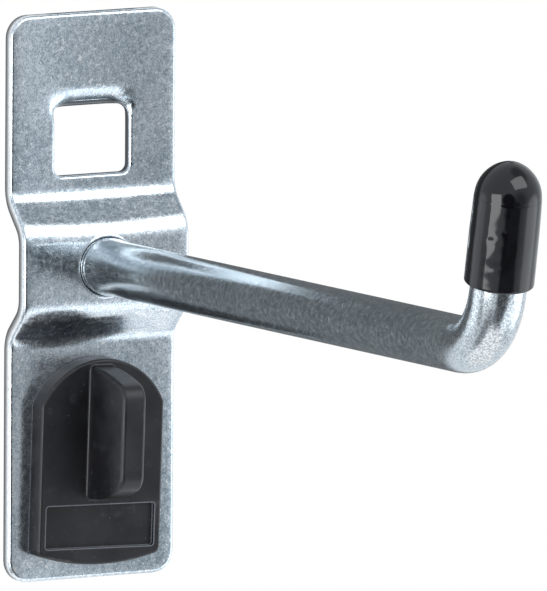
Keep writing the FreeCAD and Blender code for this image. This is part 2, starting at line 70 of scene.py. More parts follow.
class Nodes:
    """A small helper that adds and joins shader nodes in one tree."""

    def __init__(self, tree: bpy.types.NodeTree) -> None:
        """Clears the tree.

        Args:
            tree: The node tree to fill.
        """
        self.tree = tree
        tree.nodes.clear()

    def give(self, place: Socket, value: object) -> None:
        """Joins a socket to an input, or sets the input to a plain value; None leaves it."""
        if isinstance(value, Socket):
            self.tree.links.new(value, place)
        elif value is not None:
            place.default_value = value

    def add(self, kind: str, *inputs: object, **values: object) -> bpy.types.Node:
        """Adds a node and sets its properties and inputs.

        Args:
            kind: Node type without the "ShaderNode" start.
            *inputs: Values or sockets for the first inputs, in their order.
            **values: Properties of the node, or inputs with _ for a space.

        Returns:
            The new node.
        """
        node = self.tree.nodes.new("ShaderNode" + kind)
        for name, value in values.items():
            if hasattr(node, name):
                setattr(node, name, value)
            else:
                self.give(node.inputs[name.replace("_", " ")], value)
        for place, value in zip(node.inputs, inputs):
            self.give(place, value)
        return node

    def ramp(self, source: Socket, span: Span, first: Colour, last: Colour) -> Socket:
        """Adds a colour ramp.

        Args:
            source: The value that drives it.
            span: The values at which the first and the last colour are reached.
            first: The first colour.
            last: The last colour.

        Returns:
            The ramp's colour output.
        """
        node = self.add("ValToRGB", source)
        for element, position, colour in zip(node.color_ramp.elements, span, (first, last)):
            element.position = position
            element.color = (*colour, 1.0)
        return node.outputs["Color"]

    def noise(self, scale: float, detail: float = 3.0, roughness: float = 0.5) -> Socket:
        """Adds a noise texture in the object's own metres.

        Args:
            scale: Waves in a metre.
            detail: Octaves of the noise.
            roughness: How strong the finer octaves are.

        Returns:
            The noise's value output.
        """
        place = self.add("TexCoord").outputs["Object"]
        return self.add("TexNoise", place, Scale=scale, Detail=detail, Roughness=roughness).outputs["Fac"]

    def size_along(self, place: str, axis: str) -> Socket:
        """The size, without its sign, of one axis of a texture coordinate."""
        split = self.add("SeparateXYZ", self.add("TexCoord").outputs[place])
        return self.add("Math", split.outputs[axis], operation="ABSOLUTE").outputs[0]

    def painted(self, layer: str) -> Socket:
        """The value that a mesh carries at its points."""
        return self.add("Attribute", attribute_name=layer).outputs["Fac"]

    def shaded(self, share: Socket, first: Socket, last: Socket) -> Socket:
        """Mixes two shaders."""
        return self.add("MixShader", share, first, last).outputs[0]

    def either(self, first: Socket, last: Socket) -> Socket:
        """The larger of two values, which is 1 when one of two kinds of ray is met."""
        return self.add("Math", first, last, operation="MAXIMUM").outputs[0]

    def weighted(self, parts: tuple[tuple[Socket, float], ...]) -> Socket:
        """Adds up values by weight.

        Args:
            parts: The values with their weights.

        Returns:
            The sum.
        """
        total = 0.0
        for value, weight in parts:
            total = self.add("Math", value, weight, total, operation="MULTIPLY_ADD").outputs[0]
        return total

    def share(self, value: Socket, span: Span) -> Socket:
        """Eases from 0 to 1 while a value goes from the span's first to its last number."""
        node = self.add("MapRange", value, *span, interpolation_type="SMOOTHSTEP")
        return node.outputs["Result"]

    def span(self, value: Socket, source: Span, target: Span) -> Socket:
        """Carries a value from one span to another."""
        return self.add("MapRange", value, *source, *target).outputs["Result"]

    def mixed(self, share: Socket, first: Socket, last: Socket | Colour) -> Socket:
        """Mixes two colours, of which the last may be a plain one."""
        node = self.add("Mix", share, data_type="RGBA")
        self.give(node.inputs[6], first)
        self.give(node.inputs[7], (*last, 1.0) if isinstance(last, tuple) else last)
        return node.outputs[2]

    def blended(self, share: Socket, first: Socket, last: float) -> Socket:
        """Blends a value into a plain number."""
        return self.add("Mix", share, None, first, last, data_type="FLOAT").outputs[0]

    def bump(self, height: Socket, strength: float, distance: float, below: Socket | None = None) -> Socket:
        """Adds a bump node.

        Args:
            height: The height's value.
            strength: From 0 to 1.
            distance: Height of a full step, in metres.
            below: The normal of a bump that lies under this one.

        Returns:
            The bump's normal output.
        """
        node = self.add("Bump", Strength=strength, Distance=distance, Height=height, Normal=below)
        return node.outputs["Normal"]


@dataclass(frozen=True)
class Finish:
    """A piece's finish, whose kind says how it is painted."""

    name: str
    dark: Colour
    light: Colour
    roughness: float

    def build(self) -> Material:
        """Makes the material.

        Returns:
            The material, with colour, roughness and bump from its nodes.
        """
        material = bpy.data.materials.new(self.name)
        material.use_nodes = True
        nodes = Nodes(material.node_tree)
        values = self._paint(nodes)
        shader = nodes.add("BsdfPrincipled", **values)
        nodes.add("OutputMaterial", shader.outputs["BSDF"])
        return material

    def _paint(self, nodes: Nodes) -> dict[str, object]:
        """The values and sockets that the shader takes, by its inputs' names with _ for a space."""
        raise NotImplementedError


@dataclass(frozen=True)
class ShearedEdge:
    """How the sheet's cut sides look: pale and matt, with painted shade on the walls within the windows, and
    the colour of the painted shade that the plate takes under the bent lips, in the seat's groove and
    towards the back of the cut sides.
    """

    outside: Colour
    # The next colour is painted shade on the cut walls within the windows.
    inside: Colour
    # The next colour is painted shade, for the bent lips' undersides, the seat's groove and the back of the
    # cut sides.
    painted_shade: Colour
    inside_half: float
    roughness: float
    metal: float
    inside_fade: float = 1.15
    turned_span: Span = (0.34, 0.12)
    mottle_span: Span = (0.3, 0.7)


@dataclass(frozen=True)
class ZincFinish(Finish):
    """Zinc-plated steel: blue-grey and satin, with a fine grain that sparkles."""

    roughness_spread: float
    edge: ShearedEdge | None = None
    peel: Colour | None = None
    peel_scale: float = 4500.0
    peel_span: Span = (0.40, 0.60)
    grain_scale: float = 5200.0
    grain_depth: float = 0.000010
    mottle_scale: float = 1700.0
    cloud_scale: float = 160.0
    drift_scale: float = 38.0
    tone_shares: tuple[float, ...] = (0.42, 0.22, 0.14, 0.22)
    tone_span: Span = (0.40, 0.60)
    satin_span: Span = (0.35, 0.65)
    wave_scale: float = 75.0
    wave_depth: float = 0.00004
    sparkle_scale: float = 2300.0
    sparkle: Colour = (1.0, 1.0, 1.0)
    sparkle_from: float = 0.67
    sparkle_fade: float = 0.06

    def _paint(self, nodes: Nodes) -> dict[str, object]:
        """The plating, with its cut sides, its painted shade and its stretched skin."""
        metal = 1.0
        drift = nodes.noise(self.drift_scale, detail=1.0)
        cloud = nodes.noise(self.cloud_scale, detail=3.0)
        mottle = nodes.noise(self.mottle_scale, detail=2.0, roughness=0.6)
        grain = nodes.noise(self.grain_scale, detail=1.0, roughness=0.6)
        tone = nodes.weighted(tuple(zip((grain, mottle, cloud, drift), self.tone_shares)))
        skin = nodes.ramp(tone, self.tone_span, self.dark, self.light)
        spots = nodes.share(nodes.noise(self.sparkle_scale, detail=1.0),
                            (self.sparkle_from, self.sparkle_from + self.sparkle_fade))
        colour = nodes.mixed(spots, skin, self.sparkle)
        satin = nodes.span(mottle, self.satin_span, give_or_take(self.roughness, self.roughness_spread))
        if self.edge is not None:
            edge = self.edge
            sheared = nodes.share(nodes.size_along("Normal", "Y"), edge.turned_span)
            # Within the windows the cut walls take painted shade.
            inside = nodes.share(nodes.size_along("Object", "X"),
                                 (edge.inside_half * edge.inside_fade, edge.inside_half))
            pale = nodes.ramp(mottle, edge.mottle_span, edge.outside, self.sparkle)
            colour = nodes.mixed(sheared, colour, nodes.mixed(inside, pale, edge.inside))
            # Painted shade from the mesh's layer: under the bent lips, in the seat's groove and towards the
            # back of the cut sides.
            colour = nodes.mixed(nodes.painted(PAINTED_SHADE), colour, edge.painted_shade)
            satin = nodes.blended(sheared, satin, edge.roughness)
            metal = nodes.span(sheared, (0.0, 1.0), (1.0, edge.metal))
        if self.peel is not None:
            peel = nodes.ramp(nodes.noise(self.peel_scale, detail=2.0), self.peel_span,
                              self.peel, self.light)
            colour = nodes.mixed(nodes.painted(STRETCHED), colour, peel)
        waves = nodes.bump(nodes.noise(self.wave_scale, detail=1.0), 1.0, self.wave_depth)
        normal = nodes.bump(grain, 1.0, self.grain_depth, waves)
        return {"Base_Color": colour, "Metallic": metal, "Roughness": satin, "Normal": normal}


@dataclass(frozen=True)
class MouldedFinish(Finish):
    """Black moulded plastic, semi-matte, with fine grain, specks and scuffs, and a painted highlight along
    its edges.
    """

    wear_and_edge_highlight: Colour
    roughness_spread: float = 0.08
    cloud_scale: float = 260.0
    cloud_span: Span = (0.35, 0.7)
    satin_span: Span = (0.3, 0.7)
    speck_scale: float = 2400.0
    speck_span: Span = (0.74, 0.82)
    speck_strength: float = 0.35
    scuff_scale: float = 700.0
    scuff_span: Span = (0.60, 0.80)
    scuff_strength: float = 0.12
    edge_reach: float = 0.00028
    edge_span: Span = (0.995, 0.88)
    grain_scale: float = 5200.0
    grain_strength: float = 0.35
    grain_depth: float = 0.000006

    def _paint(self, nodes: Nodes) -> dict[str, object]:
        """The plastic, with its specks, scuffs and painted edge highlight."""
        cloud = nodes.noise(self.cloud_scale, detail=4.0)
        colour = nodes.ramp(cloud, self.cloud_span, self.dark, self.light)
        specks = nodes.share(nodes.noise(self.speck_scale, detail=1.0), self.speck_span)
        scuffs = nodes.share(nodes.noise(self.scuff_scale, detail=6.0), self.scuff_span)
        # The edges take a painted highlight in the same pale colour as the specks and scuffs.
        wear_and_highlight = nodes.weighted(((specks, self.speck_strength), (scuffs, self.scuff_strength),
                                (self._edge_highlight(nodes), 1.0)))
        colour = nodes.mixed(wear_and_highlight, colour, self.wear_and_edge_highlight)
        satin = nodes.span(cloud, self.satin_span, give_or_take(self.roughness, self.roughness_spread))
        grain = nodes.noise(self.grain_scale, detail=2.0)
        normal = nodes.bump(grain, self.grain_strength, self.grain_depth)
        return {"Base_Color": colour, "Roughness": satin, "Normal": normal}

    def _edge_highlight(self, nodes: Nodes) -> Socket:
        """How near an edge the surface is, from 0 to 1, which drives the painted edge highlight."""
        eased = nodes.add("Bevel", samples=8, Radius=self.edge_reach)
        plain = nodes.add("NewGeometry")
        along = nodes.add("VectorMath", eased.outputs["Normal"], plain.outputs["Normal"],
                          operation="DOT_PRODUCT")
        return nodes.share(along.outputs["Value"], self.edge_span)


@dataclass(frozen=True)
class VinylFinish(Finish):
    """Glossy black dipped vinyl with a slightly uneven surface."""

    smoothest: float = 0.7
    roughest: float = 1.4
    shine: float = 0.45
    cloud_scale: float = 300.0
    cloud_span: Span = (0.35, 0.7)
    satin_span: Span = (0.3, 0.7)
    wave_strength: float = 0.25
    wave_depth: float = 0.00004

    def _paint(self, nodes: Nodes) -> dict[str, object]:
        """The vinyl, with its clouds."""
        cloud = nodes.noise(self.cloud_scale, detail=3.0)
        colour = nodes.ramp(cloud, self.cloud_span, self.dark, self.light)
        satin = nodes.span(cloud, self.satin_span,
                           (self.roughness * self.smoothest, self.roughness * self.roughest))
        normal = nodes.bump(cloud, self.wave_strength, self.wave_depth)
        return {"Base_Color": colour, "Roughness": satin, "Normal": normal,
                "Specular_IOR_Level": self.shine}


# The cut sides' two dark colours are painted shade: on the window walls, and under the lips, in the seat's
# groove and at the back of the cut sides.
SHEARED = ShearedEdge(outside=(0.80, 0.82, 0.84), inside=(0.11, 0.12, 0.13), painted_shade=(0.05, 0.06, 0.07),
                      inside_half=0.0050, roughness=0.45, metal=0.35)
PLATE_ZINC = ZincFinish("plate_zinc", dark=(0.36, 0.44, 0.50), light=(0.80, 0.85, 0.90),
                        roughness=0.23, roughness_spread=0.05, edge=SHEARED)
ROD_ZINC = ZincFinish("rod_zinc", dark=(0.46, 0.53, 0.57), light=(0.68, 0.73, 0.76),
                      roughness=0.19, roughness_spread=0.04, peel=(0.36, 0.39, 0.42),
                      sparkle_from=0.72, grain_depth=0.000006, wave_depth=0.00002)
# The clip's pale colour serves its specks and scuffs and the painted highlight along its edges.
CLIP_BLACK = MouldedFinish("clip_black", dark=(0.006, 0.006, 0.008), light=(0.012, 0.012, 0.015),
                           wear_and_edge_highlight=(0.20, 0.22, 0.25), roughness=0.40)
CAP_BLACK = VinylFinish("cap_black", dark=(0.002, 0.002, 0.003), light=(0.006, 0.006, 0.008),
                        roughness=0.08)


class Way(Enum):
    """Which way a hooked tongue turns behind the panel."""

    UP = 1
    DOWN = -1


@dataclass(frozen=True)
class Route:
    """A line in the plane of Y and Z, made of straight runs and tangent bends.

    Each part is a run's length with no turn, or a bend's radius with its turn in
    degrees. Headings start at +Y and grow towards +Z.
    """

    start: tuple[float, float]
    heading: float
    parts: tuple[tuple[float, float], ...]

    @staticmethod
    def _length(part: tuple[float, float]) -> float:
        """The length of one part."""
        size, turn = part
        return size * math.radians(abs(turn)) if turn else size

    def ends(self) -> list[float]:
        """The distances at which the parts end."""
        distances = []
        for part in self.parts:
            distances.append(self._length(part) + (distances[-1] if distances else 0.0))
        return distances

    def at(self, distance: float) -> tuple[Vector, float]:
        """Follows the line.

        Args:
            distance: How far to go from its start.

        Returns:
            The place, and the heading in radians.
        """
        place = Vector(self.start)
        heading = math.radians(self.heading)
        left = distance
        for part in self.parts:
            used = min(left, self._length(part))
            size, turn = part
            if turn:
                side = math.copysign(1.0, turn)
                after = heading + side * used / size
                place += size * side * Vector((math.sin(after) - math.sin(heading),
                                               math.cos(heading) - math.cos(after)))
                heading = after
            else:
                place += used * Vector((math.cos(heading), math.sin(heading)))
            left -= used
        return place, heading

    def down_to(self, height: float) -> float:
        """How far along a falling line a height is reached."""
        low, high = 0.0, self.ends()[-1]
        for _ in range(50):
            middle = (low + high) / 2
            if self.at(middle)[0].y > height:
                low = middle
            else:
                high = middle
        return (low + high) / 2


@dataclass(frozen=True)
class Loop:
    """A closed outline in the flat sheet: a rectangle with rounded corners.

    A circle has corners as large as half its size.
    """

    left: float
    right: float
    top: float
    bottom: float
    corner: float
    roll: float
    is_hole: bool
    beyond: tuple[float, ...] = ()
    corner_steps: int = 8

    def insets(self) -> list[float]:
        """How far in the rings of points lie that follow the outline."""
        return [self.roll * near for near, _ in rounding(6)] + list(self.beyond)

    def distance(self, across: float, down: float) -> float:
        """How far a point of the sheet lies inside the outline's edge."""
        over = abs(across - (self.left + self.right) / 2) - (self.right - self.left) / 2 + self.corner
        under = abs(down - (self.top + self.bottom) / 2) - (self.bottom - self.top) / 2 + self.corner
        outside = math.hypot(max(over, 0.0), max(under, 0.0)) + min(max(over, under), 0.0) - self.corner
        return outside if self.is_hole else -outside

    def ring(self, inset: float) -> list[tuple[float, float]]:
        """The outline moved into the sheet.

        Args:
            inset: How far it moves in.

        Returns:
            The points of the ring, corner after corner.
        """
        radius = self.corner + (inset if self.is_hole else -inset)
        corners = (
            (self.right - self.corner, self.top + self.corner, -90),
            (self.right - self.corner, self.bottom - self.corner, 0),
            (self.left + self.corner, self.bottom - self.corner, 90),
            (self.left + self.corner, self.top + self.corner, 180),
        )
        points = []
        for across, down, turn in corners:
            for step in range(self.corner_steps + 1):
                angle = math.radians(turn + 90 * step / self.corner_steps)
                points.append((across + radius * math.cos(angle), down + radius * math.sin(angle)))
        return [point for index, point in enumerate(points)
                if math.dist(point, points[index - 1]) > CLOSE]


def quarter_round(distance: float, radius: float) -> float:
    """How deep a rounded edge lies at a distance from the outline."""
    short = radius - min(max(distance, 0.0), radius)
    return radius - math.sqrt(radius ** 2 - short ** 2)


def smooth_share(value: float) -> float:
    """A share that eases from 0 to 1 and stays there."""
    share = min(max(value, 0.0), 1.0)
    return share * share * (3 - 2 * share)


def spread(first: float, last: float, count: int) -> list[float]:
    """Values spread evenly from the first to the last."""
    return [first + (last - first) * step / count for step in range(count + 1)]


def quarter_turn(count: int) -> list[float]:
    """Angles spread evenly over a quarter turn, in radians."""
    return spread(0.0, math.pi / 2, count)


def rounding(count: int) -> list[Span]:
    """Shares of a radius, away from the start and from the end of a rounded edge."""
    return [(1 - math.cos(angle), 1 - math.sin(angle)) for angle in quarter_turn(count)]


def give_or_take(value: float, leeway: float) -> Span:
    """The span around a value."""
    return value - leeway, value + leeway


def direction(azimuth: float, elevation: float) -> Vector:
    """The direction of a place in the studio, seen from the hook, from angles in degrees."""
    turn, rise = math.radians(azimuth), math.radians(elevation)
    return Vector((math.sin(turn) * math.cos(rise), -math.cos(turn) * math.cos(rise), math.sin(rise)))


def new_item(name: str, data: bpy.types.ID) -> Item:
    """Puts a mesh, lamp or camera into the scene as an object."""
    item = bpy.data.objects.new(name, data)
    bpy.context.scene.collection.objects.link(item)
    return item


def finish_mesh(name: str, form: Form, material: Material) -> Item:
    """Turns a form in millimetres into an object with its material.

    Args:
        name: The object's name.
        form: The form, which is freed.
        material: The material.

    Returns:
        The new object.
    """
    bmesh.ops.recalc_face_normals(form, faces=form.faces)
    bmesh.ops.scale(form, vec=(MM, MM, MM), verts=form.verts)
    mesh = bpy.data.meshes.new(name)
    form.to_mesh(mesh)
    form.free()
    mesh.shade_smooth()
    mesh.set_sharp_from_angle(angle=math.radians(CRISP_ANGLE))
    mesh.materials.append(material)
    item = new_item(name, mesh)
    LOG.info("%s has %d faces and takes %s", name, len(mesh.polygons), material.name)
    return item


def skin_rings(form: Form, rings: list[list[Vector]]) -> None:
    """Joins rings that have the same count of points, and closes both ends.

    Args:
        form: The form that takes the skin.
        rings: The rings, from one end to the other.
    """
    rows = [[form.verts.new(point) for point in ring] for ring in rings]
    count = len(rows[0])
    for row, following in zip(rows, rows[1:]):
        for index in range(count):
            after = (index + 1) % count
            form.faces.new((row[index], following[index], following[after], row[after]))
    form.faces.new(rows[0])
    form.faces.new(list(reversed(rows[-1])))


@dataclass
class HookPlate:
    """The joggled steel plate with its windows and hooked tongues, in millimetres.

    The flat sheet is laid out first, with its windows and rolled edges, and is
    then folded along the joggle.
    """

    finish: ZincFinish
    half_width: float = 10.0
    sheet: float = 1.5
    above: float = 27.2
    below: float = 34.5
    corner: float = 2.4
    step_out: float = 3.4
    middle_top: float = 2.61
    middle_foot: float = -3.20
    fold: float = 45.0
    fold_inside: float = 2.4
    rim_roll: float = 0.42
    window_roll: float = 0.4
    soft_edge: float = 1.9
    soft_depth: float = 0.10
    upper_bow: float = 0.36
    bow: float = 0.14
    window_half: float = 4.5
    window_corner: float = 0.9
    upper_window: tuple[float, float] = (16.85, 9.5)
    lower_window: tuple[float, float] = (-18.85, -27.35)
    bend_outside: float = 2.1
    lip_drop: float = 0.45
    lip_half: float = 2.2
    lip_fade: float = 5.3
    lip_run_out: float = 1.5
    hollow: float = 0.20
    hollow_half: float = 6.6
    hollow_height: float = 1.4
    hole_radius: float = 2.05
    seat_radius: float = 3.15
    seat_groove: float = 0.14
    seat_groove_at: float = 0.02
    seat_bead: float = 0.04
    seat_bead_at: float = 0.24
    seat_width: float = 0.10
    seat_rings: tuple[float, float, int] = (-0.10, 0.50, 14)
    hole_roll: float = 0.1
    tongue_half: float = 3.4
    tab_half: float = 4.4
    back_bend: float = 0.6
    hook_out: float = 1.5
    hook_rise: float = 4.7
    tab_out: float = 3.5
    break_edge: float = 0.12
    # The cut sides take painted shade towards the back, starting at this share of the way in, at the
    # strength below.
    torn_from: float = 0.4
    torn_side_shade: float = 0.55
    back_follow: float = 0.43
    thinnest: float = 0.2
    # Painted shade under the bent lips starts at this lip depth and fades in over the next.
    shade_from: float = 0.35
    shade_fade: float = 0.7
    hook_start: float = 0.72
    hook_sunk: float = 0.02
    fold_rows: int = 12
    row_spacing: float = 2.5
    lip_rows: int = 14
    lip_shares: tuple[float, ...] = (0.25, 0.5, 0.75, 1.0)
    column_count: int = 30
    edge_columns: tuple[float, ...] = (0.9, 1.2, 1.6)

    def build(self) -> Item:
        """Makes the plate's mesh and puts it in the solid's place.

        Returns:
            The plate's object.
        """
        self.route = self._profile()
        form = bmesh.new()
        self._lay_out(form)
        self._cut_rows(form)
        self._fold_up(form)
        self._hook(form, Way.UP)
        self._hook(form, Way.DOWN)
        item = finish_mesh("plate", form, self.finish.build())
        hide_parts("hook_plate")
        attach(item, ROOT)
        return item

    def _profile(self) -> Route:
        """The front face seen from the side, from the top edge down to the foot."""
        turn = math.radians(self.fold)
        outside = self.fold_inside + self.sheet
        both = self.fold_inside + outside
        ramp = (self.step_out - both * (1 - math.cos(turn))) / math.sin(turn)
        drop = both * math.sin(turn) + ramp * math.cos(turn)
        return Route((-self.sheet, self.above), -90.0, (
            (self.above - self.middle_top - drop, 0.0),
            (self.fold_inside, -self.fold), (ramp, 0.0), (outside, self.fold),
            (self.middle_top - self.middle_foot, 0.0),
            (outside, self.fold), (ramp, 0.0), (self.fold_inside, -self.fold),
            (self.middle_foot - drop + self.below, 0.0),
        ))

    def _loops(self) -> list[Loop]:
        """The rim, the two windows and the rod's hole, in the flat sheet."""
        length = self.route.ends()[-1]
        half, radius = self.window_half, self.hole_radius
        loops = [Loop(-self.half_width, self.half_width, 0.0, length, self.corner, self.rim_roll, False)]
        for high, low in (self.upper_window, self.lower_window):
            loops.append(Loop(-half, half, self.route.down_to(high), self.route.down_to(low),
                              self.window_corner, self.window_roll, True))
        centre = self.route.down_to(0.0)
        around_seat = tuple(self.seat_radius - radius + offset for offset in spread(*self.seat_rings))
        loops.append(Loop(-radius, radius, centre - radius, centre + radius, radius,
                          self.hole_roll, True, around_seat))
        return loops

    def _lay_out(self, form: Form) -> None:
        """Lays the flat sheet out, with rings of points along its rounded edges."""
        self.loops = self._loops()
        inner = []
        for loop in self.loops:
            rows = []
            for inset in loop.insets():
                rows.append([form.verts.new((*point, 0.0)) for point in loop.ring(inset)])
            count = len(rows[0])
            for row, following in zip(rows, rows[1:]):
                for index in range(count):
                    after = (index + 1) % count
                    form.faces.new((row[index], row[after], following[after], following[index]))
            last = rows[-1]
            inner += [form.edges.get((last[index], last[(index + 1) % count])) for index in range(count)]
        bmesh.ops.triangle_fill(form, use_beauty=True, use_dissolve=False, edges=inner)

    def _cut_rows(self, form: Form) -> None:
        """Cuts the flat sheet across and down, closely at the folds and lips."""
        ends = self.route.ends()
        rows = []
        for index, (part, last) in enumerate(zip(self.route.parts, ends)):
            first = ends[index - 1] if index else 0.0
            straight = max(1, round((last - first) / self.row_spacing))
            rows += spread(first, last, self.fold_rows if part[1] else straight)
        for edge, side in self._lips():
            for _, far in rounding(self.lip_rows)[:-1]:
                rows.append(self.route.down_to(edge + side * self._lip_span() * far))
            rows += [self.route.down_to(edge - side * self.lip_run_out * share) for share in self.lip_shares]
        columns = spread(-self.hollow_half, self.hollow_half, self.column_count)
        columns += [side * (self.half_width - offset) for side in (-1, 1) for offset in self.edge_columns]
        for places, across in ((rows, False), (columns, True)):
            for place in places:
                bmesh.ops.bisect_plane(
                    form, geom=form.verts[:] + form.edges[:] + form.faces[:], dist=CLOSE,
                    plane_co=(place, 0.0, 0.0) if across else (0.0, place, 0.0),
                    plane_no=(1.0, 0.0, 0.0) if across else (0.0, 1.0, 0.0))

    def _lips(self) -> list[tuple[float, int]]:
        """The heights of the windows' bent edges, with the side on which the sheet bends."""
        return [(self.upper_window[0], 1), (self.lower_window[1], -1)]

    def _lip_span(self) -> float:
        """How far above its edge a bent lip starts."""
        return self.bend_outside + self.lip_drop

    def _lip(self, across: float, height: float) -> float:
        """How deep the front face is pressed in at the windows' bent edges."""
        deep = 0.0
        span = self._lip_span()
        for edge, side in self._lips():
            over = (height - edge) * side
            if over < span:
                bend = 1 - math.sqrt(1 - (1 - max(over, 0.0) / span) ** 2)
                share = smooth_share((self.lip_fade - abs(across)) / (self.lip_fade - self.lip_half))
                deep += self.bend_outside * bend * share * smooth_share(1 + over / self.lip_run_out)
            soft = math.exp(-((over - self.lip_drop) / self.hollow_height) ** 2)
            deep += self.hollow * soft * smooth_share(2 * (1 - abs(across) / self.hollow_half))
        return deep

    def _seat(self, across: float, down: float) -> float:
        """How deep the ring around the rod's seat lies: a groove with a raised bead."""
        away = math.hypot(across, down - self.loops[-1].top - self.hole_radius) - self.seat_radius
        groove = self.seat_groove * smooth_share(1 - abs(away - self.seat_groove_at) / self.seat_width)
        bead = self.seat_bead * math.exp(-((away - self.seat_bead_at) / self.seat_width) ** 2)
        return groove - bead

    def _depths(self, across: float, down: float) -> tuple[float, float]:
        """How deep the front and the back lie below the plain front face."""
        height = self.route.at(down)[0].y
        lip = self._lip(across, height)
        front = lip
        back = self.sheet + self.back_follow * lip
        for loop in self.loops:
            distance = loop.distance(across, down)
            if distance < loop.roll:
                front += quarter_round(distance, loop.roll)
            if distance < self.break_edge:
                back -= quarter_round(distance, self.break_edge)
        rim = self.loops[0].distance(across, down)
        front += self.soft_depth * (1 - min(max(rim, 0.0) / self.soft_edge, 1.0)) ** 2
        raised = smooth_share((height - self.middle_top) / self.step_out)
        bow = self.bow + (self.upper_bow - self.bow) * raised
        front += bow * (1 - min(abs(across) / self.half_width, 1.0) ** 2)
        front += self._seat(across, down)
        return min(front, back - self.thinnest), back

    def _painted_shade_share(self, across: float, down: float) -> float:
        """How much painted shade a point of the front takes, from 0 to 1: under the bent lips and in the
        seat's groove.
        """
        height = self.route.at(down)[0].y
        lip = smooth_share((self._lip(across, height) - self.shade_from) / self.shade_fade)
        seat = smooth_share(self._seat(across, down) / self.seat_groove)
        return max(lip, seat)

    def _folded(self, across: float, down: float, depth: float) -> Vector:
        """Where a point of the sheet goes once the sheet is folded."""
        place, heading = self.route.at(down)
        return Vector((across, place.x - depth * math.sin(heading), place.y + depth * math.cos(heading)))

    def _fold_up(self, form: Form) -> None:
        """Gives the sheet its back and its sheared sides, and folds it."""
        # This layer holds painted shade: from the lips and the seat at the front, part way at the middle of
        # the cut sides, full at their back rim.
        tone = form.verts.layers.float.new(PAINTED_SHADE)
        fronts = form.verts[:]
        faces = form.faces[:]
        rim = [edge for edge in form.edges if len(edge.link_faces) == 1]
        backs, middles = {}, {}
        for vert in fronts:
            across, down, _ = vert.co
            front, back = self._depths(across, down)
            backs[vert] = form.verts.new(self._folded(across, down, back))
            backs[vert][tone] = 1.0 if vert.is_boundary else 0.0
            if vert.is_boundary:
                torn = front + (back - front) * self.torn_from
                middles[vert] = form.verts.new(self._folded(across, down, torn))
                middles[vert][tone] = self.torn_side_shade
            vert[tone] = self._painted_shade_share(across, down)
            vert.co = self._folded(across, down, front)
        for face in faces:
            form.faces.new([backs[vert] for vert in reversed(face.verts)])
        for edge in rim:
            first, last = edge.verts
            form.faces.new((first, last, middles[last], middles[first]))
            form.faces.new((middles[first], middles[last], backs[last], backs[first]))

    def _hook(self, form: Form, way: Way) -> None:
        """Adds the tongue or the tab that goes through the panel.

        Args:
            form: The plate's form.
            way: UP for the tongue at the upper window, DOWN for the tab below.
        """
        side = way.value
        outside = self.bend_outside
        if way is Way.UP:
            start, half = (-self.sheet, self.upper_window[0] + self._lip_span()), self.tongue_half
            parts = ((outside, 90.0), (self.hook_out - outside + self.sheet, 0.0), (outside, 90.0),
                     (self.hook_rise, 0.0))
            route = Route(start, -90.0, parts)
        else:
            start, half = (-self.sheet, self.lower_window[1] - outside), self.tab_half
            route = Route(start, 90.0, ((outside, -90.0), (self.tab_out - outside + self.sheet, 0.0)))
        ends = route.ends()
        stops = spread(ends[0] * self.hook_start, ends[0], 4)
        for index, part in enumerate(route.parts[1:], start=1):
            stops += spread(ends[index - 1], ends[index], self.fold_rows if part[1] else 2)[1:]
        small = self.break_edge
        rings = []
        for stop in stops:
            place, heading = route.at(stop)
            across = Vector((0.0, -side * math.sin(heading), side * math.cos(heading)))
            centre = Vector((0.0, place.x, place.y)) + across * self.hook_sunk
            ring = []
            for aside, deep in ((-half, small), (-half + small, 0.0), (half - small, 0.0), (half, small),
                                (half, self.sheet - small), (half - small, self.sheet),
                                (-half + small, self.sheet), (-half, self.sheet - small)):
                ring.append(centre + Vector((aside, 0.0, 0.0)) + across * deep)
            rings.append(ring)
        skin_rings(form, rings)


